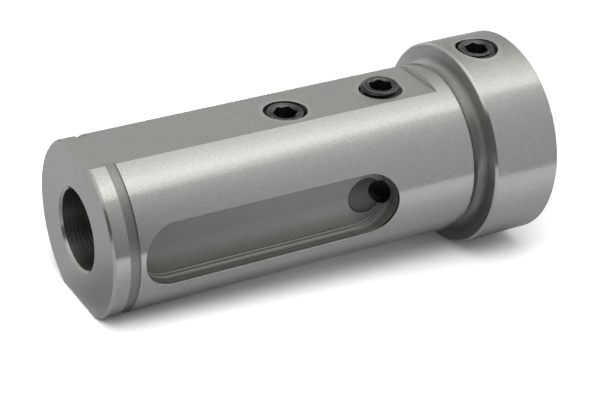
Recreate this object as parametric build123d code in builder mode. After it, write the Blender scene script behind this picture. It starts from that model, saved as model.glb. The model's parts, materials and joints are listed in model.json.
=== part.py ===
from build123d import *
import os
from math import cos, hypot, isclose, radians, sin

# A reducing sleeve for holding a small round tool shank in a larger round holder.
# It stands on the end face of its collar, with the bore along +Z.
# The set screws are on the -Y side and the coolant pocket is on the -X side. Millimetres.

# Turned outside of the sleeve
body_diameter = 40.0
body_length = 93.4
collar_diameter = 48.5
collar_thickness = 17.5
collar_end_chamfer = 0.6
collar_shoulder_chamfer = 0.5
rear_chamfer = 0.5

# The round neck runs out of the shoulder without a corner
neck_radius = 1.65

# Shallow marking groove near the rear end
marking_groove_from_rear = 3.8
marking_groove_width = 2.4
marking_groove_depth = 0.4

# Tool bore from the collar, with a step at its end that stops the tool
tool_bore_diameter = 20.0
tool_bore_chamfer = 1.0
stop_thickness = 20.0
rear_bore_diameter = 18.4
rear_bore_chamfer = 0.58

# Two flats milled along the body, one under the set screws and one opposite
screw_flat_depth = 1.6
back_flat_depth = 2.1
round_stretch_behind_shoulder = 6.9
flat_edge_break = 0.3

# Coolant pocket, a slot with round ends and a flat floor that leaves a wall over the tool bore
pocket_width = 15.0
pocket_length = 62.45
pocket_from_rear = 7.5
wall_under_pocket = 3.2
pocket_rim_chamfer = 0.15

# The holes were drilled a few degrees round from the milled faces
drilling_turn = 3.5

# Recess drilled into the pocket floor, with the cone that the drill's point leaves
recess_diameter = 8.3
recess_rim_depth = 0.6
recess_point_depth = 0.9
recess_from_pocket_end = 4.95

# Coolant duct, drilled at a slant through the pocket's end corner and into the tool bore
duct_diameter = 5.3
duct_start_from_pocket_end = 0.7
duct_start_offset = 0.85
duct_slope = 45.0
duct_sideways_turn = -22.0
duct_run_before_floor = 12.0
duct_run_after_floor = 14.0

# Tapped holes, with the thread left out
screw_diameter = 9.9
screw_clearance = 0.05
screw_hole_chamfer = 0.1
rear_screw_height = 60.3
front_screw_height = 35.4
collar_screw_height = 9.6

# Set screws with a flat point and a hexagon socket
short_screw_length = 8.0
long_screw_length = 12.0
screw_top_chamfer = 0.8
screw_point_diameter = 7.0
socket_across_flats = 5.0
socket_depth = 4.0
rear_screw_below_flat = 0.25
front_screw_above_flat = 1.3
collar_screw_below_rim = 0.2
rear_screw_socket_angle = 45.0
front_screw_socket_angle = 10.0
collar_screw_socket_angle = 16.0

# Worked out from the sizes above
total_length = collar_thickness + body_length
body_radius = body_diameter / 2
collar_radius = collar_diameter / 2
tool_bore_radius = tool_bore_diameter / 2
rear_bore_radius = rear_bore_diameter / 2
tool_bore_depth = total_length - stop_thickness
groove_rear = total_length - marking_groove_from_rear
groove_front = groove_rear - marking_groove_width
groove_floor_radius = body_radius - marking_groove_depth
flat_length = body_length - round_stretch_behind_shoulder
screw_flat_distance = body_radius - screw_flat_depth
back_flat_distance = body_radius - back_flat_depth
pocket_rear = total_length - pocket_from_rear
pocket_front = pocket_rear - pocket_length
pocket_middle = (pocket_rear + pocket_front) / 2
pocket_floor_distance = tool_bore_radius + wall_under_pocket
pocket_depth = body_radius - pocket_floor_distance
recess_radius = recess_diameter / 2
recess_rim_distance = pocket_floor_distance - recess_rim_depth
screw_hole_radius = screw_diameter / 2 + screw_clearance

# Planes through the bore's axis, their normals along the drilled holes
turn = radians(drilling_turn)
screw_side = Plane(origin=(0, 0, 0), x_dir=(0, 0, 1), z_dir=(-sin(turn), -cos(turn), 0))
pocket_side = Plane(origin=(0, 0, 0), x_dir=(0, 0, 1), z_dir=(-cos(turn), sin(turn), 0))
screw_axis = Axis(screw_side.origin, screw_side.z_dir)


# True for an edge that both starts and ends on the sleeve's round outside
def lies_on_outside(edge):
    return all(
        isclose(hypot(corner.X, corner.Y), body_radius, abs_tol=0.001)
        for corner in edge.vertices()
    )


# True for the outer end of a screw hole, not its end in the bore or the seam along its wall
def is_hole_mouth(edge):
    height_above_bore = edge.center().dot(screw_side.z_dir) - tool_bore_radius
    return edge.geom_type != GeomType.LINE and height_above_bore > screw_hole_chamfer


# The sleeve, turned from one bar
with BuildPart() as sleeve:
    with BuildSketch(Plane.XZ):
        with BuildLine():
            Polyline(
                (body_radius, collar_thickness),
                (collar_radius - collar_shoulder_chamfer, collar_thickness),
                (collar_radius, collar_thickness - collar_shoulder_chamfer),
                (collar_radius, collar_end_chamfer),
                (collar_radius - collar_end_chamfer, 0),
                (tool_bore_radius + tool_bore_chamfer, 0),
                (tool_bore_radius, tool_bore_chamfer),
                (tool_bore_radius, tool_bore_depth),
                (rear_bore_radius, tool_bore_depth),
                (rear_bore_radius, total_length - rear_bore_chamfer),
                (rear_bore_radius + rear_bore_chamfer, total_length),
                (body_radius - rear_chamfer, total_length),
                (body_radius, total_length - rear_chamfer),
                (body_radius, groove_rear),
                (groove_floor_radius, groove_rear),
                (groove_floor_radius, groove_front),
                (body_radius, groove_front),
                (body_radius, collar_thickness + 2 * neck_radius),
            )
            ThreePointArc(
                (body_radius, collar_thickness + 2 * neck_radius),
                (body_radius - neck_radius, collar_thickness + neck_radius),
                (body_radius, collar_thickness),
            )
        make_face()
    revolve(axis=Axis.Z)

    # Flats, milled in from the rear end
    with BuildSketch(Plane.XY.offset(total_length)):
        with Locations((0, -screw_flat_distance)):
            Rectangle(body_diameter, body_radius, align=(Align.CENTER, Align.MAX))
        with Locations((0, back_flat_distance)):
            Rectangle(body_diameter, body_radius, align=(Align.CENTER, Align.MIN))
    extrude(amount=-flat_length, mode=Mode.SUBTRACT)
    rear_edges = sleeve.faces().sort_by(Axis.Z)[-1].outer_wire().edges()
    chamfer(rear_edges.filter_by(GeomType.LINE), flat_edge_break)

    # Coolant pocket
    with BuildSketch(Plane.YZ.offset(-body_radius)):
        with Locations((0, pocket_middle)):
            SlotOverall(pocket_length, pocket_width, rotation=90)
    extrude(amount=pocket_depth, mode=Mode.SUBTRACT)
    chamfer(sleeve.edges(Select.LAST).filter_by(lies_on_outside), pocket_rim_chamfer)

    # Recess in the pocket floor
    with BuildSketch(pocket_side.offset(recess_rim_distance)):
        with Locations((pocket_front + recess_from_pocket_end, 0)):
            Circle(recess_radius)
    extrude(amount=recess_rim_depth + pocket_depth / 2, mode=Mode.SUBTRACT)
    recess_middle = Vector(0, 0, pocket_front + recess_from_pocket_end)
    recess_rim_middle = recess_middle + pocket_side.z_dir * recess_rim_distance
    with Locations(Plane(origin=recess_rim_middle, z_dir=-pocket_side.z_dir)):
        Cone(
            recess_radius,
            0,
            recess_point_depth,
            align=(Align.CENTER, Align.CENTER, Align.MIN),
            mode=Mode.SUBTRACT,
        )

    # Slanted coolant duct, through the pocket's end corner into the tool bore
    duct_corner = Vector(
        -pocket_floor_distance,
        duct_start_offset,
        pocket_front + duct_start_from_pocket_end,
    )
    duct_direction = Vector(
        sin(radians(duct_slope)) * cos(radians(duct_sideways_turn)),
        -sin(radians(duct_sideways_turn)),
        -cos(radians(duct_slope)) * cos(radians(duct_sideways_turn)),
    )
    duct_start = duct_corner - duct_direction * duct_run_before_floor
    with BuildSketch(Plane(origin=duct_start, z_dir=duct_direction)):
        Circle(duct_diameter / 2)
    extrude(amount=duct_run_before_floor + duct_run_after_floor, mode=Mode.SUBTRACT)

    # Holes for the set screws, through one wall only
    with BuildSketch(screw_side):
        with Locations(
            (rear_screw_height, 0),
            (front_screw_height, 0),
            (collar_screw_height, 0),
        ):
            Circle(screw_hole_radius)
    extrude(amount=collar_radius, mode=Mode.SUBTRACT)
    chamfer(sleeve.edges(Select.LAST).filter_by(is_hole_mouth), screw_hole_chamfer)
sleeve.part.label = "sleeve"


# A set screw with its axis along a drilled hole and its top at a given distance from the bore's axis
def make_set_screw(label, height, top_distance, length, socket_angle):
    with BuildPart() as screw:
        with BuildSketch(screw_side.offset(top_distance)):
            with Locations((height, 0)):
                Circle(screw_diameter / 2)
        extrude(amount=-length)
        ends = screw.edges().filter_by(GeomType.CIRCLE).sort_by(screw_axis)
        chamfer(ends[0], (screw_diameter - screw_point_diameter) / 2)
        chamfer(ends[-1], screw_top_chamfer)
        with BuildSketch(screw_side.offset(top_distance)):
            with Locations((height, 0)):
                RegularPolygon(
                    socket_across_flats / 2, 6, major_radius=False, rotation=socket_angle
                )
        extrude(amount=-socket_depth, mode=Mode.SUBTRACT)
    screw.part.label = label
    return screw


rear_set_screw = make_set_screw(
    "rear_set_screw",
    rear_screw_height,
    screw_flat_distance - rear_screw_below_flat,
    short_screw_length,
    rear_screw_socket_angle,
)
front_set_screw = make_set_screw(
    "front_set_screw",
    front_screw_height,
    screw_flat_distance + front_screw_above_flat,
    short_screw_length,
    front_screw_socket_angle,
)
collar_set_screw = make_set_screw(
    "collar_set_screw",
    collar_screw_height,
    collar_radius - collar_screw_below_rim,
    long_screw_length,
    collar_screw_socket_angle,
)

# One file for each piece
os.makedirs("parts", exist_ok=True)
for piece in (sleeve, rear_set_screw, front_set_screw, collar_set_screw):
    export_step(piece.part, f"parts/{piece.part.label}.step")
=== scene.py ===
import json
import math

import bmesh
import bpy
from mathutils import Euler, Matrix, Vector


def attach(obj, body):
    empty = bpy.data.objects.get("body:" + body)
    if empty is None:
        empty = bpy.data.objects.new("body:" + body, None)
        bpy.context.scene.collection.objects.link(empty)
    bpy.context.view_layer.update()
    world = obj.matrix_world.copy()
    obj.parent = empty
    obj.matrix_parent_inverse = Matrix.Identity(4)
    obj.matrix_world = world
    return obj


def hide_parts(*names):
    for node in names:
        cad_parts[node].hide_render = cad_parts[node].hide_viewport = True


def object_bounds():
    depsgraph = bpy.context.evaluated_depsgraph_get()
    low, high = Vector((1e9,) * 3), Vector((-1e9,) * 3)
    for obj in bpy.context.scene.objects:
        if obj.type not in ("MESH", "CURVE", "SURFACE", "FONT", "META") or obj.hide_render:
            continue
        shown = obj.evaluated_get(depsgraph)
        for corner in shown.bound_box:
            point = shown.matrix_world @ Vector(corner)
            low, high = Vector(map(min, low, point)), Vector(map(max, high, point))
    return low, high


# The sleeve stands on its collar in the frame, with the bore along +Z. The photograph shows it
# lying down, with the screws up: up is -Y there, towards the viewer is -X, and the rear end is on
# the left. Lengths named _MM are in millimetres and the rest in metres.

MM = 0.001

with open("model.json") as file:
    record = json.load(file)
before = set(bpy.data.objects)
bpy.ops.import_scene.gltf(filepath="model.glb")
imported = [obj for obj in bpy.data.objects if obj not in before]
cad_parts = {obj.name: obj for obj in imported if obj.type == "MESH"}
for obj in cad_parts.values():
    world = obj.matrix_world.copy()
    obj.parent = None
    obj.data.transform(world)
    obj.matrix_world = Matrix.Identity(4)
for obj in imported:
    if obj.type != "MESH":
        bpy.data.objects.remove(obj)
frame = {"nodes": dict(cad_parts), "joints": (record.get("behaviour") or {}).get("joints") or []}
cad_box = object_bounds()
sleeve = frame["nodes"]["sleeve"]

# Sizes of the sleeve that its material follows. Places along it are from the collar's end face.
TOTAL_LENGTH_MM = cad_box[1].z / MM
BODY_RADIUS_MM = 20.0
COLLAR_RADIUS_MM = 24.25
COLLAR_THICKNESS_MM = 17.5
SHOULDER_CHAMFER_MM = 0.5
SHOULDER_EDGE_MM = COLLAR_THICKNESS_MM - SHOULDER_CHAMFER_MM
SHOULDER_RADIUS_MM = COLLAR_RADIUS_MM - SHOULDER_CHAMFER_MM
NECK_DEPTH_MM = 1.65
NECK_BOTTOM_RADIUS_MM = BODY_RADIUS_MM - NECK_DEPTH_MM
NECK_END_MM = COLLAR_THICKNESS_MM + 2 * NECK_DEPTH_MM
ROUND_BEHIND_SHOULDER_MM = 6.9
FLAT_END_MM = COLLAR_THICKNESS_MM + ROUND_BEHIND_SHOULDER_MM
SCREW_FLAT_DISTANCE_MM = 18.4
BACK_FLAT_DISTANCE_MM = 17.9
GROOVE_FLOOR_RADIUS_MM = 19.6
GROOVE_FROM_REAR_MM = 6.2
GROOVE_START_MM = TOTAL_LENGTH_MM - GROOVE_FROM_REAR_MM
TOOL_BORE_RADIUS_MM = 10.0
POCKET_FLOOR_DISTANCE_MM = 13.2
POCKET_FROM_REAR_MM = 7.5
POCKET_LENGTH_MM = 62.45
POCKET_REAR_MM = TOTAL_LENGTH_MM - POCKET_FROM_REAR_MM
POCKET_FRONT_MM = POCKET_REAR_MM - POCKET_LENGTH_MM
RECESS_FROM_POCKET_END_MM = 4.95
RECESS_HEIGHT_MM = POCKET_FRONT_MM + RECESS_FROM_POCKET_END_MM
RECESS_RADIUS_MM = 4.15

# The slanted duct: where its axis goes through the plane of the pocket's floor, and its way from
# there to the bore
DUCT_RADIUS_MM = 2.65
DUCT_START_OFFSET_MM = 0.85
DUCT_FROM_POCKET_END_MM = 0.7
DUCT_START_MM = Vector((
    -POCKET_FLOOR_DISTANCE_MM,
    DUCT_START_OFFSET_MM,
    POCKET_FRONT_MM + DUCT_FROM_POCKET_END_MM,
))
DUCT_SLOPE = math.radians(45)
DUCT_SIDEWAYS_TURN = math.radians(22)
DUCT_WAY = Vector((
    math.sin(DUCT_SLOPE) * math.cos(DUCT_SIDEWAYS_TURN),
    math.sin(DUCT_SIDEWAYS_TURN),
    -math.cos(DUCT_SLOPE) * math.cos(DUCT_SIDEWAYS_TURN),
))

# The tapped holes and their screws. The holes were drilled a few degrees round from the flats.
SCREW_HEIGHTS_MM = (60.3, 35.4, 9.6)
SCREW_HOLE_RADIUS_MM = 5.0
DRILLING_TURN = math.radians(3.5)
THREAD_PITCH_MM = 1.5


# Node graphs

class Graph:
    """A shader's node tree, with short calls for the nodes that the materials here are made of."""

    def __init__(self, tree):
        self.tree = tree
        tree.nodes.clear()

    def node(self, kind, **settings):
        made = self.tree.nodes.new(kind)
        for name, value in settings.items():
            setattr(made, name, value)
        return made

    def link(self, source, target):
        if isinstance(source, (int, float, tuple, Vector)):
            target.default_value = source
        else:
            self.tree.links.new(source, target)

    def made_of(self, node, sources):
        """The node, with each source on the input of its number or name."""
        for key, source in sources.items():
            self.link(source, node.inputs[key])
        return node

    def number_math(self, operation, first, second=0.0):
        made = self.node("ShaderNodeMath", operation=operation)
        return self.made_of(made, {0: first, 1: second}).outputs[0]

    def add(self, first, second):
        return self.number_math("ADD", first, second)

    def minus(self, first, second):
        return self.number_math("SUBTRACT", first, second)

    def times(self, first, *others):
        for other in others:
            first = self.number_math("MULTIPLY", first, other)
        return first

    def over(self, first, second):
        return self.number_math("DIVIDE", first, second)

    def size(self, value):
        return self.number_math("ABSOLUTE", value)

    def larger(self, first, second):
        return self.number_math("MAXIMUM", first, second)

    def smaller(self, first, second):
        return self.number_math("MINIMUM", first, second)

    def wave(self, value, length):
        """A sine wave, from minus one to one."""
        return self.number_math("SINE", self.times(value, 2 * math.pi / length))

    def about_one(self, value, amount):
        """One, changed by a share of value."""
        return self.add(1.0, self.times(value, amount))

    def rise(self, value, low, high, start=0.0, end=1.0):
        """Goes from start to end as value goes from low to high, and stays there outside."""
        made = self.node("ShaderNodeMapRange", clamp=True)
        return self.made_of(made, {0: value, 1: low, 2: high, 3: start, 4: end}).outputs[0]

    def fall(self, value, low, high):
        """One up to low, and nought from high."""
        return self.rise(value, low, high, 1.0, 0.0)

    def within(self, value, low, high, soft):
        """One between low and high and nought outside, with soft edges."""
        enters = self.rise(value, low - soft, low + soft)
        return self.times(enters, self.fall(value, high - soft, high + soft))

    def split(self, vector):
        return self.made_of(self.node("ShaderNodeSeparateXYZ"), {0: vector}).outputs

    def vector(self, x, y, z):
        made = self.node("ShaderNodeCombineXYZ")
        return self.made_of(made, {0: x, 1: y, 2: z}).outputs[0]

    def scaled(self, vector, factor):
        made = self.node("ShaderNodeVectorMath", operation="SCALE")
        return self.made_of(made, {0: vector, "Scale": factor}).outputs[0]

    def vector_math(self, operation, first, second=(0.0, 0.0, 0.0)):
        made = self.node("ShaderNodeVectorMath", operation=operation)
        return self.made_of(made, {0: first, 1: second}).outputs

    def length(self, vector):
        return self.vector_math("LENGTH", vector)["Value"]

    def unit(self, vector):
        return self.vector_math("NORMALIZE", vector)[0]

    def noise(self, vector, scale, detail, roughness):
        made = self.node("ShaderNodeTexNoise")
        sources = {"Vector": vector, "Scale": scale, "Detail": detail, "Roughness": roughness}
        return self.made_of(made, sources).outputs["Fac"]

    def blend(self, factor, first, second):
        """Numbers: first where factor is nought, second where it is one."""
        made = self.node("ShaderNodeMix", data_type="FLOAT")
        return self.made_of(made, {0: factor, 2: first, 3: second}).outputs[0]

    def blend_vector(self, factor, first, second):
        made = self.node("ShaderNodeMix", data_type="VECTOR")
        return self.made_of(made, {0: factor, 4: first, 5: second}).outputs[1]

    def blend_colour(self, factor, first, second):
        made = self.node("ShaderNodeMix", data_type="RGBA")
        first, second = (
            (*colour, 1.0) if isinstance(colour, tuple) else colour for colour in (first, second)
        )
        return self.made_of(made, {0: factor, 6: first, 7: second}).outputs[2]

    def ramp(self, value, stops, tint=(1.0, 1.0, 1.0)):
        """Levels of one tint, at places along value."""
        low, high = stops[0][0], stops[-1][0]
        made = self.node("ShaderNodeValToRGB")
        self.link(self.rise(value, low, high), made.inputs[0])
        elements = made.color_ramp.elements
        while len(elements) < len(stops):
            elements.new(0.5)
        for element, (where, level) in zip(elements, stops):
            element.position = (where - low) / (high - low)
            element.color = (*(level * part for part in tint), 1.0)
        return made.outputs[0]

    def bump(self, height, strength, distance):
        made = self.node("ShaderNodeBump")
        sources = {"Height": height, "Strength": strength, "Distance": distance}
        return self.made_of(made, sources).outputs[0]

    def shader(self, kind, sources):
        return self.made_of(self.node(kind), sources).outputs[0]

    def show(self, surface, kind="ShaderNodeOutputMaterial"):
        self.link(surface, self.node(kind).inputs["Surface"])


def make_material(name):
    made = bpy.data.materials.new(name)
    made.use_nodes = True
    return made, Graph(made.node_tree)


def add_object(name, data):
    made = bpy.data.objects.new(name, data)
    bpy.context.scene.collection.objects.link(made)
    return made


# Where a point of the object is

class Place:
    """A point's place in millimetres, also across and along the screw holes, and how far it is
    from the nearest screw's axis.
    """

    def __init__(self, g):
        self.place = g.scaled(g.node("ShaderNodeTexCoord").outputs["Object"], 1 / MM)
        self.x, self.y, self.z = g.split(self.place)
        turned_x, turned_y = math.cos(DRILLING_TURN), math.sin(DRILLING_TURN)
        self.across_holes = g.minus(g.times(self.x, turned_x), g.times(self.y, turned_y))
        self.along_holes = g.add(g.times(self.x, turned_y), g.times(self.y, turned_x))
        self.from_screw, *others = (
            g.length(g.vector(self.across_holes, 0.0, g.minus(self.z, height)))
            for height in SCREW_HEIGHTS_MM
        )
        for other in others:
            self.from_screw = g.smaller(self.from_screw, other)


class SleevePlace(Place):
    """A point on the sleeve, with the way that the surface faces there.

    upward goes from minus one below the bore to one above it, as the sleeve lies, and facing_out
    from minus one to one as the surface faces the bore's axis or away from it.
    """

    def __init__(self, g):
        super().__init__(g)
        x, y, z = self.x, self.y, self.z
        self.nx, self.ny, self.nz = g.split(g.node("ShaderNodeNewGeometry").outputs["Normal"])
        self.radius = g.number_math("SQRT", g.add(g.times(x, x), g.times(y, y)))
        self.angle = g.number_math("ARCTAN2", y, x)
        self.upward = g.over(g.times(y, -1.0), self.radius)
        outward_part = g.add(g.times(self.nx, x), g.times(self.ny, y))
        self.facing_out = g.over(outward_part, self.radius)
        recess_axis_y = g.times(x, -math.tan(DRILLING_TURN))
        self.from_recess = g.length(
            g.vector(0.0, g.minus(y, recess_axis_y), g.minus(z, RECESS_HEIGHT_MM))
        )
        from_start = g.vector_math("SUBTRACT", self.place, DUCT_START_MM)[0]
        self.from_duct = g.length(g.vector_math("CROSS_PRODUCT", from_start, DUCT_WAY)[0])


# The regions of the sleeve

# A little outside the bore, where what belongs to its wall ends
BORE_LIMIT_MM = (TOOL_BORE_RADIUS_MM + 0.4, TOOL_BORE_RADIUS_MM + 0.6)

# The pocket and its recess lie further than this from the bore's axis, towards the viewer
POCKET_SIDE_MM = 10.6

# Along the pocket, from where each starts to where it is full: the painted dark rim and the
# painted shade of the low corner at the collar's end, the painted highlight of the long rim, and
# the closer steps round the collar's end
POCKET_END_RIM_MM = (46.0, 44.0)
POCKET_LOW_CORNER_MM = (50.0, 45.0)
POCKET_LONG_RIM_MM = (45.0, 48.0)
POCKET_END_STEPS_MM = (51.0, 46.5)


class Regions:
    """The regions of the sleeve, each of them one there and nought elsewhere.

    The small numbers after a size say how far from it a region starts, and how soft its edge is.
    """

    def __init__(self, g, at):
        self.find_flats(g, at)
        self.find_turned(g, at)
        self.find_pocket(g, at)
        self.find_drilled(g, at)

    def find_flats(self, g, at):
        self.flat = g.times(
            g.rise(g.size(at.ny), 0.992, 0.996),
            g.rise(at.z, FLAT_END_MM - 0.4, FLAT_END_MM - 0.2),
            g.rise(at.radius, BACK_FLAT_DISTANCE_MM - 0.2, BACK_FLAT_DISTANCE_MM - 0.1),
        )

        # The step where a flat runs out, and a dark line along its foot, painted shade in the
        # corner, with a fainter line beside it
        past_flat = g.minus(g.size(at.y), SCREW_FLAT_DISTANCE_MM)
        self.run_out = g.times(
            g.rise(at.nz, 0.9, 0.95),
            g.within(at.z, FLAT_END_MM - 0.1, FLAT_END_MM + 0.1, 0.05),
            g.rise(past_flat, -0.1, 0.0),
        )
        strong_line = g.times(
            g.within(at.z, FLAT_END_MM - 0.05, FLAT_END_MM + 0.35, 0.12),
            g.fall(past_flat, 0.1, 0.25),
        )
        faint_line = g.times(g.within(at.z, FLAT_END_MM + 0.7, FLAT_END_MM + 0.9, 0.15), 0.35)
        on_screw_side = g.fall(at.y, 0.1 - SCREW_FLAT_DISTANCE_MM, 0.2 - SCREW_FLAT_DISTANCE_MM)
        self.run_out_line = g.times(g.larger(strong_line, faint_line), on_screw_side)

    def find_turned(self, g, at):
        self.end_face = g.rise(g.size(at.nz), 0.9, 0.95)
        self.neck = g.times(
            g.rise(at.z, COLLAR_THICKNESS_MM - 0.2, COLLAR_THICKNESS_MM - 0.05),
            g.fall(at.z, NECK_END_MM - 0.08, NECK_END_MM),
            g.fall(at.radius, SHOULDER_RADIUS_MM - 0.05, SHOULDER_RADIUS_MM),
            g.rise(at.radius, NECK_BOTTOM_RADIUS_MM - 1.35, NECK_BOTTOM_RADIUS_MM - 1.15),
        )
        self.shoulder_edge = g.times(
            g.within(at.nz, 0.6, 0.8, 0.05),
            g.within(at.z, SHOULDER_EDGE_MM, SHOULDER_EDGE_MM + 0.32, 0.04),
            g.rise(at.radius, SHOULDER_RADIUS_MM - 0.15, SHOULDER_RADIUS_MM - 0.05),
        )
        self.groove = g.times(
            g.within(at.radius, GROOVE_FLOOR_RADIUS_MM - 0.1, GROOVE_FLOOR_RADIUS_MM + 0.1, 0.03),
            g.rise(at.z, GROOVE_START_MM - 0.1, GROOVE_START_MM),
            g.rise(at.facing_out, 0.9, 0.95),
            g.minus(1.0, self.flat),
        )
        self.bore = g.times(g.fall(at.facing_out, -0.9, -0.8), g.fall(at.radius, *BORE_LIMIT_MM))

    def find_pocket(self, g, at):
        self.pocket_side = g.times(
            g.fall(at.x, -POCKET_SIDE_MM, 0.1 - POCKET_SIDE_MM), g.rise(at.radius, *BORE_LIMIT_MM)
        )
        in_length = g.within(at.z, POCKET_FRONT_MM - 1.0, POCKET_REAR_MM + 0.1, 0.1)
        self.pocket_floor = g.times(
            g.fall(at.nx, -0.97, -0.95),
            g.within(at.x, -POCKET_FLOOR_DISTANCE_MM - 0.1, -POCKET_SIDE_MM, 0.05),
            in_length,
        )
        wall_or_rim = g.larger(
            g.fall(g.size(at.nx), 0.1, 0.3),
            g.rise(at.radius, BODY_RADIUS_MM - 0.3, BODY_RADIUS_MM - 0.25),
        )
        inside_round = g.fall(at.facing_out, 0.93, 0.97)
        self.pocket_wall = g.times(wall_or_rim, self.pocket_side, inside_round, in_length)
        self.end_rim = g.times(
            g.rise(at.radius, BODY_RADIUS_MM - 0.55, BODY_RADIUS_MM - 0.45),
            g.rise(at.z, *POCKET_END_RIM_MM),
        )
        self.long_rim = g.times(
            g.rise(at.radius, BODY_RADIUS_MM - 0.18, BODY_RADIUS_MM - 0.13),
            g.rise(at.y, 5.0, 6.5),
            g.rise(at.z, *POCKET_LONG_RIM_MM),
        )
        self.low_corner = g.times(g.rise(at.y, 2.5, 4.5), g.rise(at.z, *POCKET_LOW_CORNER_MM))

    def find_drilled(self, g, at):
        self.recess = g.times(
            g.fall(at.from_recess, RECESS_RADIUS_MM + 0.02, RECESS_RADIUS_MM + 0.06),
            self.pocket_side,
            g.rise(at.x, 0.05 - POCKET_FLOOR_DISTANCE_MM, 0.1 - POCKET_FLOOR_DISTANCE_MM),
        )
        self.recess_line = g.times(
            g.within(at.from_recess, RECESS_RADIUS_MM - 0.07, RECESS_RADIUS_MM + 0.21, 0.05),
            g.within(at.x, -POCKET_FLOOR_DISTANCE_MM - 0.1, 0.15 - POCKET_FLOOR_DISTANCE_MM, 0.05),
            self.pocket_side,
        )
        self.duct = g.times(
            g.fall(at.from_duct, DUCT_RADIUS_MM + 0.03, DUCT_RADIUS_MM + 0.07),
            g.rise(at.radius, TOOL_BORE_RADIUS_MM, TOOL_BORE_RADIUS_MM + 0.1),
            g.fall(at.x, -1.0, -0.9),
        )
        self.hole_wall = g.times(
            g.fall(at.from_screw, SCREW_HOLE_RADIUS_MM + 0.02, SCREW_HOLE_RADIUS_MM + 0.05),
            g.fall(at.y, -9.0, -8.9),
        )
        # A painted sheen on the flat round each screw hole, with fine rings
        self.countersink_sheen = g.times(
            g.within(at.from_screw, SCREW_HOLE_RADIUS_MM + 0.25, SCREW_HOLE_RADIUS_MM + 1.0, 0.2),
            g.fall(at.y, -17.0, -16.9),
        )


# The marks on the steel. Each length is from one mark to the next.

HATCH_MM = 0.6
BORE_RING_MM = 0.95
FINE_BORE_RING_MM = 0.41
NECK_RING_MM = 0.55
COUNTERSINK_RING_MM = 0.5
POCKET_PASS_MM = 0.33
POCKET_LINE_MM = 0.62

# Factors on the place round the sleeve, in depth and along it, which draw the grinding marks out
# round the sleeve
GRINDING_STRETCH = (0.25, 4.0, 4.0)


class Marks:
    """What turning, milling and grinding left on the steel, and the bore's painted glint streaks.
    """

    def __init__(self, g, at):
        self.speckle = g.noise(at.place, scale=3.6, detail=3.0, roughness=0.8)
        self.blotch = g.noise(at.place, scale=0.9, detail=3.0, roughness=0.6)
        self.cloud = g.noise(at.place, scale=0.12, detail=2.0, roughness=0.5)
        self.milling = g.noise(at.place, scale=2.1, detail=3.0, roughness=0.6)
        self.thread = g.number_math("PINGPONG", at.along_holes, THREAD_PITCH_MM / 2)
        self.countersink_rings = g.wave(at.from_screw, COUNTERSINK_RING_MM)
        self.make_outside(g, at)
        self.make_bore(g, at)
        self.make_pocket(g, at)

    def make_outside(self, g, at):
        along_round = g.times(at.angle, BODY_RADIUS_MM)
        round_place = g.vector(along_round, at.radius, at.z)
        stretched = g.vector_math("MULTIPLY", round_place, GRINDING_STRETCH)[0]
        self.grinding = g.noise(stretched, scale=1.6, detail=4.0, roughness=0.7)
        self.neck_rings = g.wave(g.add(at.radius, g.times(at.z, 1.3)), NECK_RING_MM)

        # Diagonal lay of the marking groove
        uneven_z = g.add(at.z, g.times(self.blotch, 0.5))
        self.hatch = g.wave(g.add(along_round, uneven_z), HATCH_MM)

    def make_bore(self, g, at):
        """Turning rings, uneven in place and in depth, with painted glint streaks between them."""
        place = g.vector(g.times(at.angle, 1.2), 0.0, g.times(at.z, 0.5))
        wander = g.noise(place, scale=1.0, detail=3.0, roughness=0.6)
        ring_place = g.add(at.z, g.times(wander, 1.6))
        rings = g.add(g.wave(ring_place, BORE_RING_MM), g.wave(ring_place, FINE_BORE_RING_MM))
        depth = g.noise(place, scale=1.7, detail=2.0, roughness=0.6)
        self.bore_rings = g.times(rings, g.rise(depth, 0.35, 0.65, 0.2, 1.3))
        streak_place = g.vector(at.angle, 0.0, g.times(at.z, 3.0))
        streaks = g.noise(streak_place, scale=1.0, detail=3.0, roughness=0.6)
        self.glint_streaks = g.rise(streaks, 0.5, 0.62)

    def make_pocket(self, g, at):
        """The distance from the bore's axis, a little wavy as the cutter left it, and the fine
        lines that follow it.
        """
        along = g.vector(0.0, 0.0, at.z)
        sway = g.noise(along, scale=0.15, detail=3.0, roughness=0.55)
        self.step_distance = g.minus(g.times(at.x, -1.0), g.times(g.minus(sway, 0.5), 0.25))
        self.passes = g.wave(self.step_distance, POCKET_PASS_MM)
        self.pocket_lines = g.wave(self.step_distance, POCKET_LINE_MM)


# The steel of the sleeve: one material, whose finish and painted light and shade follow the
# regions

STEEL = (0.62, 0.628, 0.585)
DARK_FINISH_STEEL = (0.632, 0.632, 0.587)
ANISOTROPY = 0.7
COARSE_CUT_METALLIC = 0.74
BUMP_STRENGTH = 0.35
BUMP_DISTANCE = 0.02 * MM

GROUND_ROUGHNESS = 0.18
FLAT_ROUGHNESS = 0.48
END_FACE_ROUGHNESS = 0.32
NECK_ROUGHNESS = 0.42
GROOVE_ROUGHNESS = 0.42
BORE_ROUGHNESS = 0.36
POCKET_FLOOR_ROUGHNESS = 0.5
POCKET_WALL_ROUGHNESS = 0.6
DRILLED_ROUGHNESS = 0.65
HOLE_ROUGHNESS = 0.5

# Shades next to the ground outside: the tone of each finish, and painted light and shade
FLAT_SHADE = 1.06
# Painted light on the face of the step where a flat runs out
RUN_OUT_SHADE = 1.22
# The turned neck's own tone, darkened further as painted shade
NECK_SHADE = 0.6
GROOVE_SHADE = 0.64
BORE_SHADE = 0.62
POCKET_FLOOR_SHADE = 0.56
# Painted shade on the pocket's end wall and in its low corner, a painted dark line along the end's
# rim and a painted highlight along the long rim
POCKET_END_WALL_SHADE = 0.34
POCKET_LOW_CORNER_SHADE = 0.6
POCKET_END_RIM_SHADE = 0.15
POCKET_LONG_RIM_SHADE = 0.9
# Painted shade in the recess, a painted shadow line round it, and painted shade in the duct and
# the screw holes
RECESS_SHADE = 0.40
RECESS_LINE_SHADE = 0.1
DUCT_SHADE = 0.12
HOLE_SHADE = 0.3
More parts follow.
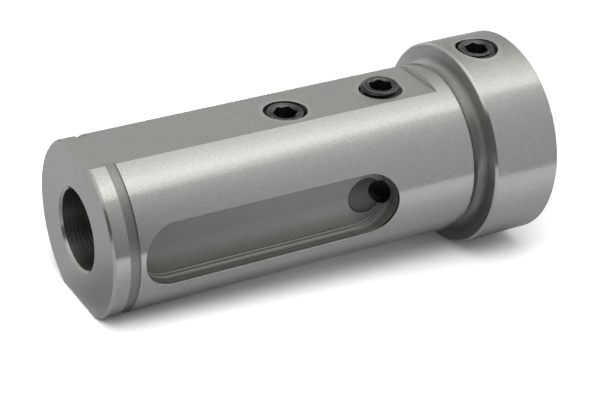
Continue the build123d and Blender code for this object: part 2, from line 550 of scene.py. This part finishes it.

# How much the marks and the painted light lighten and darken the steel
SPECKLE_AMOUNT = 0.82
BLOTCH_AMOUNT = 0.12
CLOUD_AMOUNT = 0.05
# The painted sheen round the screw holes, and its fine rings
COUNTERSINK_SHEEN_AMOUNT = 0.13
COUNTERSINK_RING_AMOUNT = 0.06
# The painted dark line at the foot of the run-out step, and the fainter line beside it
RUN_OUT_LINE_AMOUNT = -0.24
NECK_RING_AMOUNT = 0.21
HATCH_AMOUNT = 0.24
BORE_RING_AMOUNT = 0.11
# Painted glint streaks low in the bore
GLINT_STREAK_AMOUNT = 0.28
POCKET_LINE_AMOUNT = 0.12

# How far the shading of the pocket's long rim turns up, as if it were rounded
RIM_ROUNDING = 0.3

# Steps that the end mill left in the pocket's wall, by the distance from the bore's axis in
# millimetres, and their shades: painted highlights where the steps catch the light and painted
# shade between them. They lie closer together round the end at the collar.
POCKET_WALL_STEP_HIGHLIGHTS = (
    (13.2, 0.48), (13.55, 0.8), (13.8, 1.4), (14.05, 1.05), (14.3, 0.52), (14.5, 0.38),
    (14.75, 0.75), (15.0, 1.2), (15.5, 1.15), (15.85, 0.75), (16.15, 0.6), (16.5, 0.4),
    (17.05, 0.52), (17.5, 0.4), (19.6, 0.4),
)
POCKET_END_STEP_HIGHLIGHTS = (
    (13.2, 0.60), (13.65, 1.9), (13.98, 0.4), (14.18, 0.5), (14.48, 2.0), (14.72, 0.7),
    (14.92, 0.6), (15.2, 1.8), (15.42, 0.6), (15.8, 1.9), (16.15, 0.35), (16.48, 1.3),
    (16.75, 0.6), (18.3, 0.78), (19.6, 0.85),
)
BRIGHTEST_STEP_HIGHLIGHT = 2.0


def make_height(g, on, mark):
    height = g.add(g.times(mark.grinding, 0.3), g.times(mark.speckle, 0.12))
    groove = g.add(g.times(mark.hatch, 0.4), mark.speckle)
    bore = g.add(g.times(mark.bore_rings, 0.55), g.times(mark.grinding, 1.5))
    wall = g.add(g.times(mark.passes, 0.8), mark.speckle)
    floor = g.add(mark.milling, g.times(mark.speckle, 0.8))
    height = g.blend(on.groove, height, groove)
    height = g.blend(on.bore, height, bore)
    height = g.blend(on.pocket_wall, height, wall)
    height = g.blend(on.pocket_floor, height, floor)
    return g.blend(on.hole_wall, height, g.times(mark.thread, 40.0))


def make_roughness(g, on, mark):
    roughness = g.add(GROUND_ROUGHNESS, g.times(g.minus(mark.speckle, 0.5), 0.08))
    for region, value in (
        (on.flat, FLAT_ROUGHNESS),
        (on.end_face, END_FACE_ROUGHNESS),
        (on.neck, NECK_ROUGHNESS),
        (on.pocket_floor, POCKET_FLOOR_ROUGHNESS),
        (on.pocket_wall, POCKET_WALL_ROUGHNESS),
        (on.groove, GROOVE_ROUGHNESS),
        (on.bore, BORE_ROUGHNESS),
        (g.larger(on.recess, on.duct), DRILLED_ROUGHNESS),
        (on.hole_wall, HOLE_ROUGHNESS),
    ):
        roughness = g.blend(region, roughness, value)
    return roughness


def make_neck_shade(g, at, mark):
    # Painted light and shade: lightest a little above the middle and darker towards the top, up to
    # the neck's last part
    lighter = g.rise(at.upward, 0.0, 0.25, 0.85, 1.6)
    darker = g.rise(at.upward, 0.45, 0.8, 1.0, 0.72)
    shade = g.blend(g.rise(at.z, 19.7, 19.0), 1.0, g.times(lighter, darker))

    # A painted dark band low down, and painted light in the corner with the shoulder
    low_band = g.times(g.within(at.z, 18.6, 20.0, 0.2), g.rise(at.upward, 0.3, 0.1))
    shade = g.times(shade, g.about_one(low_band, -0.4))
    corner = g.times(g.rise(at.z, 18.3, 17.6), g.rise(at.radius, 20.0, 21.0, 0.8, 0.0))
    shade = g.times(shade, g.add(1.0, corner), NECK_SHADE)
    return g.add(shade, g.times(mark.neck_rings, mark.blotch, NECK_RING_AMOUNT))


def make_shoulder_edge_highlight(g, at):
    # A painted highlight along the upper part of the shoulder's chamfer, dimmer at the very top
    lighter = g.rise(at.upward, 0.6, 0.72, 1.0, 1.9)
    darker = g.rise(at.upward, 0.93, 0.99, 1.0, 0.6)
    return g.times(lighter, darker)


def make_groove_shade(g, mark):
    return g.add(GROOVE_SHADE, g.times(mark.hatch, mark.blotch, HATCH_AMOUNT))


def make_bore_shade(g, at, mark):
    shade = g.add(BORE_SHADE, g.times(mark.bore_rings, BORE_RING_AMOUNT))
    # Painted shade towards the top of the bore, and painted glint streaks towards the bottom
    shade = g.times(shade, g.rise(at.y, -2.0, 7.0, 0.7, 1.0))
    return g.add(shade, g.times(mark.glint_streaks, g.rise(at.y, 0.0, 5.0, 0.0, GLINT_STREAK_AMOUNT)))


def make_pocket_floor_shade(g, at):
    # Lighter towards the collar's end, and painted light towards the lower wall
    along = g.rise(at.z, POCKET_REAR_MM - 8.0, POCKET_FRONT_MM + 6.0, 0.93, 1.15)
    return g.times(along, g.rise(at.y, 0.0, 5.5, 1.03, 1.5), POCKET_FLOOR_SHADE)


def make_pocket_wall_shade(g, at, on, mark):
    # A colour ramp holds levels up to one, so the steps go through it divided by the brightest
    def steps(levels):
        dimmed = [(distance, level / BRIGHTEST_STEP_HIGHLIGHT) for distance, level in levels]
        return g.ramp(mark.step_distance, dimmed)

    at_end = g.rise(at.z, *POCKET_END_STEPS_MM)
    shade = g.blend_colour(at_end, steps(POCKET_WALL_STEP_HIGHLIGHTS), steps(POCKET_END_STEP_HIGHLIGHTS))
    # Painted shade where the wall faces the rear end, a painted dark line along the end's rim, the
    # fine lines, a painted highlight on the long rim and painted shade in the low corner
    by_facing = g.rise(at.nz, 0.80, 0.965, 1.0, POCKET_END_WALL_SHADE)
    shade = g.times(shade, BRIGHTEST_STEP_HIGHLIGHT, by_facing)
    shade = g.times(shade, g.blend(on.end_rim, 1.0, POCKET_END_RIM_SHADE))
    shade = g.times(shade, g.about_one(mark.pocket_lines, POCKET_LINE_AMOUNT))
    shade = g.blend(on.long_rim, shade, POCKET_LONG_RIM_SHADE)
    return g.times(shade, g.blend(on.low_corner, 1.0, POCKET_LOW_CORNER_SHADE))


def make_finish(g, at, on, mark):
    """The shade of each region, next to the ground outside: its finish's tone, and painted light
    and shade.
    """
    countersink_sheen = g.times(on.countersink_sheen, g.about_one(mark.countersink_rings, COUNTERSINK_RING_AMOUNT))
    finish = g.times(
        g.blend(on.flat, 1.0, FLAT_SHADE),
        g.blend(on.run_out, 1.0, RUN_OUT_SHADE),
        g.about_one(countersink_sheen, COUNTERSINK_SHEEN_AMOUNT),
        g.about_one(on.run_out_line, RUN_OUT_LINE_AMOUNT),
    )
    # Painted shade in the recess, darker towards the top
    recess_shade = g.times(g.rise(at.y, -4.0, 3.0, 0.84, 1.6), RECESS_SHADE)
    for region, shade in (
        (on.neck, make_neck_shade(g, at, mark)),
        (on.shoulder_edge, make_shoulder_edge_highlight(g, at)),
        (on.groove, make_groove_shade(g, mark)),
        (on.bore, make_bore_shade(g, at, mark)),
        (on.pocket_floor, make_pocket_floor_shade(g, at)),
        (on.pocket_wall, make_pocket_wall_shade(g, at, on, mark)),
        (on.recess, recess_shade),
        (on.recess_line, RECESS_LINE_SHADE),
        (on.duct, DUCT_SHADE),
        (on.hole_wall, HOLE_SHADE),
    ):
        finish = g.blend(region, finish, shade)
    return finish


def make_steel_colour(g, at, on, mark):
    shade = 1.0
    for pattern, amount in (
        (mark.speckle, SPECKLE_AMOUNT),
        (mark.blotch, BLOTCH_AMOUNT),
        (mark.cloud, CLOUD_AMOUNT),
    ):
        shade = g.add(shade, g.times(g.minus(pattern, 0.5), amount))
    finish = make_finish(g, at, on, mark)

    # Where the finish is darker, the steel is a little warmer
    tint = g.blend_colour(g.fall(finish, 0.6, 0.95), STEEL, DARK_FINISH_STEEL)
    return g.scaled(tint, g.times(shade, finish))


def make_sleeve_steel():
    made, g = make_material("ground_steel")
    at = SleevePlace(g)
    on = Regions(g, at)
    mark = Marks(g, at)
    bump = g.bump(make_height(g, on, mark), BUMP_STRENGTH, BUMP_DISTANCE)
    rounded = g.unit(g.vector(at.nx, g.minus(at.ny, RIM_ROUNDING), at.nz))
    coarse = g.larger(on.pocket_wall, on.duct)
    outward = g.unit(g.vector(at.x, at.y, 0.0))
    g.show(g.shader("ShaderNodeBsdfPrincipled", {
        "Base Color": make_steel_colour(g, at, on, mark),
        "Metallic": g.blend(coarse, 1.0, COARSE_CUT_METALLIC),
        "Roughness": make_roughness(g, on, mark),
        "Normal": g.blend_vector(g.times(on.long_rim, on.pocket_wall), bump, rounded),
        "Anisotropic": ANISOTROPY,
        "Tangent": g.blend_vector(on.end_face, (0.0, 0.0, 1.0), outward),
    }))
    return made


sleeve.data.materials[0] = make_sleeve_steel()


# Black oxide of the set screws. The end, the socket's countersink and the outer chamfer have the
# lighter finish: rubbed thin on the end, a painted highlight on the countersink and chamfer. Each
# of the two finishes has a darkest and a lightest colour.

OXIDE = ((0.035, 0.035, 0.037), (0.10, 0.096, 0.092))
RUBBED_AND_HIGHLIT_OXIDE = ((0.045, 0.045, 0.045), (0.25, 0.24, 0.225))
OXIDE_METALLIC = 0.85
OXIDE_BUMP_STRENGTH = 0.4
OXIDE_BUMP_DISTANCE = 0.03 * MM
SCREW_RING_MM = 0.42
EDGE_HIGHLIGHT_MM = (3.95, 4.1)
CHAMFER_DARK_REFLECTION_MM = (4.2, 4.5)


def make_black_oxide(name, darkest, lightest):
    made, g = make_material(name)
    at = Place(g)
    grain = g.noise(at.place, scale=2.5, detail=4.0, roughness=0.65)
    wear = g.noise(at.place, scale=0.8, detail=3.0, roughness=0.7)
    wear_and_painted_light = g.rise(g.add(g.times(grain, 0.6), g.times(wear, 0.4)), 0.36, 0.64)

    # Fine rings from turning the end, with a painted highlight on the side away from the viewer, a
    # weaker one on the near side and darker sides
    rings = g.wave(g.add(at.from_screw, g.times(wear, 0.2)), SCREW_RING_MM)
    wear_and_painted_light = g.add(wear_and_painted_light, g.times(rings, 0.26))
    away = g.over(at.across_holes, at.from_screw)
    by_side = g.add(g.rise(away, 0.3, 0.9, 0.38, 1.4), g.rise(away, -0.4, -0.9, 0.0, 0.42))
    wear_and_painted_light = g.times(wear_and_painted_light, by_side)

    # A painted highlight along the edge of the end, and a painted dark reflection on the chamfer
    wear_and_painted_light = g.add(wear_and_painted_light, g.times(g.within(at.from_screw, *EDGE_HIGHLIGHT_MM, 0.05), 0.8))
    wear_and_painted_light = g.times(wear_and_painted_light, g.minus(1.0, g.within(at.from_screw, *CHAMFER_DARK_REFLECTION_MM, 0.06)))

    g.show(g.shader("ShaderNodeBsdfPrincipled", {
        "Base Color": g.blend_colour(wear_and_painted_light, darkest, lightest),
        "Metallic": OXIDE_METALLIC,
        "Roughness": g.rise(grain, 0.3, 0.7, 0.22, 0.36),
        "Normal": g.bump(grain, OXIDE_BUMP_STRENGTH, OXIDE_BUMP_DISTANCE),
    }))
    return made


# The materials of a screw, and their places in this list
SCREW_MATERIALS = (
    make_black_oxide("black_oxide", *OXIDE),
    make_black_oxide("rubbed_and_highlit_oxide", *RUBBED_AND_HIGHLIT_OXIDE),
)
PLAIN_FINISH = 0
RUBBED_AND_HIGHLIT_FINISH = 1


# Set screws, with the thread that the plain solids leave out

SCREW_RADIUS = 4.9 * MM
THREAD_PITCH = THREAD_PITCH_MM * MM
THREAD_DEPTH = 0.82 * MM
SCREW_TOP_CHAMFER = 0.85 * MM
SCREW_POINT_RADIUS = 3.5 * MM
SOCKET_HALF_WIDTH = 2.5 * MM
SOCKET_DEPTH = 4.0 * MM
SOCKET_MOUTH_RADIUS = 3.15 * MM
SOCKET_MOUTH_SLOPE = math.tan(math.radians(25))
SOCKET_ANGLES = {"rear_set_screw": 45.0, "front_set_screw": 10.0, "collar_set_screw": 16.0}
SCREW_SEGMENTS = 96
SAME_POINT = 0.002 * MM
SHORTEST_EDGE = 0.001 * MM
SHARP_ANGLE = math.radians(25)

# How much a face of the top chamfer looks out of the hole, for it to take the lighter oxide as a
# painted highlight
CHAMFER_FACES_OUT = (0.6, 0.9)

# How far along one pitch each corner of the thread's section lies, and how deep it is
THREAD_SECTION = (
    (0.0, 0.0), (0.125, 0.0), (0.22, 0.33), (0.315, 0.66),
    (0.42, 1.0), (0.66, 1.0), (0.77, 0.66), (0.88, 0.33),
)


class ScrewMesh:
    """The mesh of a threaded set screw, in the place of its node. Heights are from its tip."""

    def __init__(self, node, outward, socket_angle):
        corners = [vertex.co for vertex in node.data.vertices]
        heights = [corner.dot(outward) for corner in corners]
        places = [corner.z for corner in corners]
        self.outward = outward
        self.along = Vector((0, 0, 1))
        self.aside = outward.cross(self.along)
        self.tip, self.top = min(heights), max(heights)
        self.length = self.top - self.tip
        self.axis_z = (min(places) + max(places)) / 2
        self.socket_angle = socket_angle
        self.mesh = bmesh.new()
        self.add_thread()
        self.add_ends()
        self.clean_up()
        self.highlight_chamfer()

    def angle_of(self, i):
        return self.socket_angle + 2 * math.pi * i / SCREW_SEGMENTS

    def widest(self, height):
        """The radius that the flat point and the top's chamfer leave."""
        point = SCREW_POINT_RADIUS + height
        shoulder = SCREW_RADIUS - SCREW_TOP_CHAMFER + (self.length - height)
        return min(SCREW_RADIUS, point, shoulder)

    def socket(self, angle):
        """How far the hexagon's wall is from the axis."""
        turned = (angle - self.socket_angle) % (math.pi / 3) - math.pi / 6
        return SOCKET_HALF_WIDTH / math.cos(turned)

    def countersunk(self, angle):
        """How high the hexagon's wall reaches under its shallow countersink."""
        return self.length - (SOCKET_MOUTH_RADIUS - self.socket(angle)) * SOCKET_MOUTH_SLOPE

    def add_point(self, radius, angle, height):
        round_axis = self.along * math.cos(angle) + self.aside * math.sin(angle)
        on_axis = self.outward * (self.tip + height) + self.along * self.axis_z
        return self.mesh.verts.new(on_axis + round_axis * radius)

    def add_thread(self):
        """Columns of points that climb one pitch a turn, cut off at both ends."""
        turns = int(self.length / THREAD_PITCH) + 3
        columns = []
        for i in range(SCREW_SEGMENTS + 1):
            column = []
            for turn in range(-1, turns):
                for along_pitch, depth in THREAD_SECTION:
                    height = (turn + along_pitch + i / SCREW_SEGMENTS) * THREAD_PITCH
                    height = min(max(height, 0.0), self.length)
                    radius = min(SCREW_RADIUS - depth * THREAD_DEPTH, self.widest(height))
                    column.append(self.add_point(radius, self.angle_of(i), height))
            columns.append(column)
        for left, right in zip(columns, columns[1:]):
            for k in range(len(left) - 1):
                self.mesh.faces.new((left[k], right[k], right[k + 1], left[k + 1]))

    def add_ring(self, radius_of, height_of):
        angles = [self.angle_of(i) for i in range(SCREW_SEGMENTS)]
        return [self.add_point(radius_of(angle), angle, height_of(angle)) for angle in angles]

    def bridge(self, lower, upper, finish):
        for i in range(SCREW_SEGMENTS):
            j = (i + 1) % SCREW_SEGMENTS
            face = self.mesh.faces.new((lower[i], lower[j], upper[j], upper[i]))
            face.material_index = finish

    def add_ends(self):
        rim = self.add_ring(lambda angle: self.widest(self.length), lambda angle: self.length)
        mouth = self.add_ring(lambda angle: SOCKET_MOUTH_RADIUS, lambda angle: self.length)
        throat = self.add_ring(self.socket, self.countersunk)
        bottom = self.add_ring(self.socket, lambda angle: self.length - SOCKET_DEPTH)
        point = self.add_ring(lambda angle: self.widest(0.0), lambda angle: 0.0)
        # The end and the socket's countersink take the lighter oxide: rubbed on the end, a painted
        # highlight in the countersink
        self.bridge(rim, mouth, RUBBED_AND_HIGHLIT_FINISH)
        self.bridge(mouth, throat, RUBBED_AND_HIGHLIT_FINISH)
        self.bridge(throat, bottom, PLAIN_FINISH)
        self.mesh.faces.new(bottom)
        self.mesh.faces.new(point)

    def clean_up(self):
        bmesh.ops.remove_doubles(self.mesh, verts=self.mesh.verts, dist=SAME_POINT)
        bmesh.ops.dissolve_degenerate(self.mesh, edges=self.mesh.edges, dist=SHORTEST_EDGE)
        bmesh.ops.recalc_face_normals(self.mesh, faces=self.mesh.faces)

    def highlight_chamfer(self):
        low, high = CHAMFER_FACES_OUT
        for face in self.mesh.faces:
            near_top = face.calc_center_median().dot(self.outward) > self.top - SCREW_TOP_CHAMFER
            if near_top and low < face.normal.dot(self.outward) < high:
                face.material_index = RUBBED_AND_HIGHLIT_FINISH

    def make_data(self, name):
        data = bpy.data.meshes.new(name)
        self.mesh.to_mesh(data)
        self.mesh.free()
        for finish in SCREW_MATERIALS:
            data.materials.append(finish)
        data.shade_smooth()
        data.set_sharp_from_angle(angle=SHARP_ANGLE)
        return data


def make_set_screw(node_name, outward):
    """A threaded set screw in the place of its node. outward is the way out of its hole."""
    name = node_name + "_threaded"
    socket_angle = math.radians(SOCKET_ANGLES[node_name])
    shape = ScrewMesh(frame["nodes"][node_name], outward, socket_angle)
    screw = add_object(name, shape.make_data(name))
    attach(screw, node_name)
    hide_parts(node_name)


for joint in frame["joints"]:
    way_in = Vector(joint["axis"])
    make_set_screw(joint["child"], -way_in)


# The floor that the photograph's sleeve lies on. It goes through two points in the YZ plane,
# one under the collar's rim and one under the rear end's back flat.

FLOOR_UNDER_COLLAR = Vector((0, COLLAR_RADIUS_MM, SHOULDER_EDGE_MM)) * MM
FLOOR_UNDER_REAR = Vector((0, BACK_FLAT_DISTANCE_MM, TOTAL_LENGTH_MM)) * MM
FLOOR_TOWARDS_VIEWER = 0.093
FLOOR_AWAY = 0.6
FLOOR_ALONG = 0.6
FLOOR_LEVEL_FOR_CAMERA = (1.3, 1.3, 1.3)

# What the metal sees of the floor, by the distance from the bore's axis: nearer to the viewer is
# negative. The first list is for the floor beside the sleeve, the second for beyond its rear end.
# Both lists hold a painted shadow: the floor darker in a band close to the sleeve
FLOOR_LEVEL_FOR_METAL = (
    (-0.093, 0.65), (-0.06, 0.64), (-0.045, 0.57), (-0.033, 0.46), (-0.02, 0.40), (-0.012, 0.42),
    (-0.004, 0.75), (0.01, 0.7), (0.08, 0.5),
)
FLOOR_LEVEL_BEYOND_REAR = (
    (-0.093, 0.53), (-0.02, 0.48), (-0.002, 0.26), (0.004, 0.29), (0.016, 0.52), (0.08, 0.48),
)
FLOOR_TINT_FOR_METAL = (0.995, 0.965, 1.048)
BEYOND_REAR = (0.109, 0.113)

# Light on the floor under the far side, so that the sides that the photograph hides can be made
# out from behind. It starts under the sleeve's middle, grows under its far half and ends beyond.
GLOW_LEVEL = 0.07
GLOW_GROWTH = 4.0
GLOW_STARTS = (-0.010, -0.005)
GLOW_GROWS = (0.004, 0.014)
GLOW_ENDS = (0.07, 0.09)
GLOW_ALONG = (0.045, 0.105)
GLOW_SOFTNESS = 0.01

# As the floor is seen more and more edge-on, where it starts to be see-through and where it is
EDGE_ON = (0.86, 0.92)


def make_floor_colour(g, x, z, seen):
    for_metal = g.blend_colour(
        g.rise(z, *BEYOND_REAR),
        g.ramp(x, FLOOR_LEVEL_FOR_METAL, FLOOR_TINT_FOR_METAL),
        g.ramp(x, FLOOR_LEVEL_BEYOND_REAR, FLOOR_TINT_FOR_METAL),
    )
    return g.blend_colour(seen, for_metal, FLOOR_LEVEL_FOR_CAMERA)


def make_floor_glow(g, x, z, seen):
    return g.times(
        g.rise(x, *GLOW_STARTS, 0.0, GLOW_LEVEL),
        g.rise(x, *GLOW_GROWS, 1.0, GLOW_GROWTH),
        g.fall(x, *GLOW_ENDS),
        g.within(z, *GLOW_ALONG, GLOW_SOFTNESS),
        g.minus(1.0, seen),
    )


def make_floor_material():
    made, g = make_material("floor")
    seen = g.node("ShaderNodeLightPath").outputs["Is Camera Ray"]
    x, _, z = g.split(g.node("ShaderNodeTexCoord").outputs["Object"])
    surface = g.shader("ShaderNodeBsdfDiffuse", {"Color": make_floor_colour(g, x, z, seen)})
    light = g.shader("ShaderNodeEmission", {"Strength": make_floor_glow(g, x, z, seen)})
    lit = g.shader("ShaderNodeAddShader", {0: surface, 1: light})

    # See-through from behind and edge-on
    facing = g.node("ShaderNodeLayerWeight").outputs["Facing"]
    from_behind = g.node("ShaderNodeNewGeometry").outputs["Backfacing"]
    see_through = g.larger(from_behind, g.rise(facing, *EDGE_ON))
    clear = g.shader("ShaderNodeBsdfTransparent", {})
    g.show(g.shader("ShaderNodeMixShader", {0: see_through, 1: lit, 2: clear}))
    return made


def make_floor():
    along = (FLOOR_UNDER_REAR - FLOOR_UNDER_COLLAR).normalized() * FLOOR_ALONG
    middle = (FLOOR_UNDER_REAR + FLOOR_UNDER_COLLAR) / 2
    near = middle - Vector((FLOOR_TOWARDS_VIEWER, 0, 0))
    far = middle + Vector((FLOOR_AWAY, 0, 0))
    corners = (near - along, far - along, far + along, near + along)
    data = bpy.data.meshes.new("floor")
    data.from_pydata([tuple(corner) for corner in corners], [], [(0, 1, 2, 3)])
    if data.polygons[0].normal.y > 0:
        data.flip_normals()
    data.materials.append(make_floor_material())
    add_object("floor", data)


make_floor()


# Soft studio light, all from the world: a wide soft box overhead and pale walls

# Angles are degrees round the bore as the sleeve lies: 0 towards the viewer, 90 up, 180 away.
# There is one list for light from beyond the collar, one for light from beside the sleeve and one
# for light from beyond the rear end.
LIGHT_BEYOND_COLLAR = (
    (-180, 0.45), (-100, 0.30), (-30, 0.46), (-14, 0.49), (15, 0.52), (33, 0.57), (50, 0.65),
    (59, 0.72), (63, 1.22), (72, 1.28), (82, 1.06), (98, 0.84), (106, 0.70), (120, 0.56),
    (140, 0.46), (180, 0.46),
)
LIGHT_BESIDE = (
    (-180, 0.45), (-100, 0.25), (-30, 0.11), (-14, 0.12), (0, 0.145), (15, 0.21), (33, 0.30),
    (50, 0.48), (56, 0.60), (59, 1.24), (72, 1.32), (82, 1.12), (98, 0.90), (106, 0.72),
    (120, 0.56), (140, 0.46), (180, 0.46),
)
LIGHT_BEYOND_REAR = (
    (-180, 0.45), (-100, 0.30), (-50, 0.12), (55, 0.12), (75, 0.6), (90, 0.75), (115, 0.65),
    (145, 0.5), (180, 0.5),
)

# Where one list gives way to the next, by how much the light's way runs along the bore
FROM_COLLAR_TO_BESIDE = (-0.43, -0.31)
FROM_BESIDE_TO_REAR = (-0.1, 0.35)

# Far beyond the collar the light is weaker, and the soft box lies a little higher
FAR_BEYOND_COLLAR = (-0.54, -0.46)
FAR_BEYOND_COLLAR_SHADE = 0.86
SOFT_BOX_TURN = (-0.54, -0.37)
SOFT_BOX_TURN_DEGREES = 12.0

# The light from low down is a little bluer
LOW_LIGHT_DEGREES = (35.0, 58.0)
LOW_LIGHT_TINT = (0.985, 0.985, 1.03)

# The light that makes the shadow on the floor: a long soft box over the sleeve, a little to the
# viewer's side. It is soft enough for the shadow to stay close to the sleeve.
SHADOW_LIGHT_WAY = Vector((-0.42, -1.0, 0.0)).normalized()
SHADOW_LIGHT_FALL = 20.0
SHADOW_LIGHT_FALL_ALONG = 8.0
SHADOW_LIGHT_TOWARDS_REAR = 0.24
SHADOW_LIGHT_LEVEL = 7.0
SHADOW_FILL_LEVEL = 0.40

WHITE = (1.0, 1.0, 1.0)


def make_light_for_metal(g, x, y, z):
    """The light from the way x, y, z, as the metal mirrors it."""
    angle = g.number_math("ARCTAN2", g.times(y, -1.0), g.times(x, -1.0))
    degrees = g.times(angle, 180 / math.pi)
    degrees = g.minus(degrees, g.rise(z, *SOFT_BOX_TURN, SOFT_BOX_TURN_DEGREES, 0.0))
    level = g.blend_colour(
        g.rise(z, *FROM_COLLAR_TO_BESIDE),
        g.ramp(degrees, LIGHT_BEYOND_COLLAR),
        g.ramp(degrees, LIGHT_BESIDE),
    )
    level = g.scaled(level, g.rise(z, *FAR_BEYOND_COLLAR, FAR_BEYOND_COLLAR_SHADE, 1.0))
    beyond_rear = g.ramp(degrees, LIGHT_BEYOND_REAR)
    level = g.blend_colour(g.rise(z, *FROM_BESIDE_TO_REAR), level, beyond_rear)
    tint = g.blend_colour(g.rise(degrees, *LOW_LIGHT_DEGREES), LOW_LIGHT_TINT, WHITE)
    return g.vector_math("MULTIPLY", level, tint)[0]


def make_light_for_floor(g, x, y, z):
    """The light from the way x, y, z, as it falls on the floor."""
    way_round = g.unit(g.vector(x, y, 0.0))
    overhead = g.vector_math("DOT_PRODUCT", way_round, SHADOW_LIGHT_WAY)["Value"]
    glow = g.number_math("POWER", g.larger(overhead, 0.0), SHADOW_LIGHT_FALL)
    along = g.minus(z, SHADOW_LIGHT_TOWARDS_REAR)
    reach = g.larger(g.minus(1.0, g.times(along, along)), 0.0)
    length_fall = g.number_math("POWER", reach, SHADOW_LIGHT_FALL_ALONG)
    level = g.add(SHADOW_FILL_LEVEL, g.times(glow, length_fall, SHADOW_LIGHT_LEVEL))
    return g.vector(level, level, level)


def make_world():
    world = bpy.data.worlds.new("studio")
    bpy.context.scene.world = world
    world.use_nodes = True
    g = Graph(world.node_tree)
    x, y, z = g.split(g.node("ShaderNodeTexCoord").outputs["Generated"])
    rays = g.node("ShaderNodeLightPath").outputs
    for_metal = make_light_for_metal(g, x, y, z)
    for_floor = make_light_for_floor(g, x, y, z)
    colour = g.blend_colour(rays["Is Diffuse Ray"], for_metal, for_floor)
    colour = g.blend_colour(rays["Is Camera Ray"], colour, WHITE)
    g.show(g.shader("ShaderNodeBackground", {"Color": colour}), "ShaderNodeOutputWorld")


make_world()


# The camera of the photograph, above the lying sleeve and beyond its rear end

CAMERA_PLACE = (-0.32493, -0.19939, 0.24300)
CAMERA_TURN_DEGREES = (-26.1027, 60.7428, -176.9903)
CAMERA_LENS_MM = 110.94
CAMERA_SENSOR_MM = 36.0
CAMERA_CLIP_START = 0.01


def make_camera():
    data = bpy.data.cameras.new("camera")
    data.sensor_width = CAMERA_SENSOR_MM
    data.lens = CAMERA_LENS_MM
    data.clip_start = CAMERA_CLIP_START
    camera = add_object("camera", data)
    camera.location = CAMERA_PLACE
    camera.rotation_euler = Euler([math.radians(turn) for turn in CAMERA_TURN_DEGREES])
    bpy.context.scene.camera = camera


make_camera()
bpy.context.scene.view_settings.view_transform = "Standard"
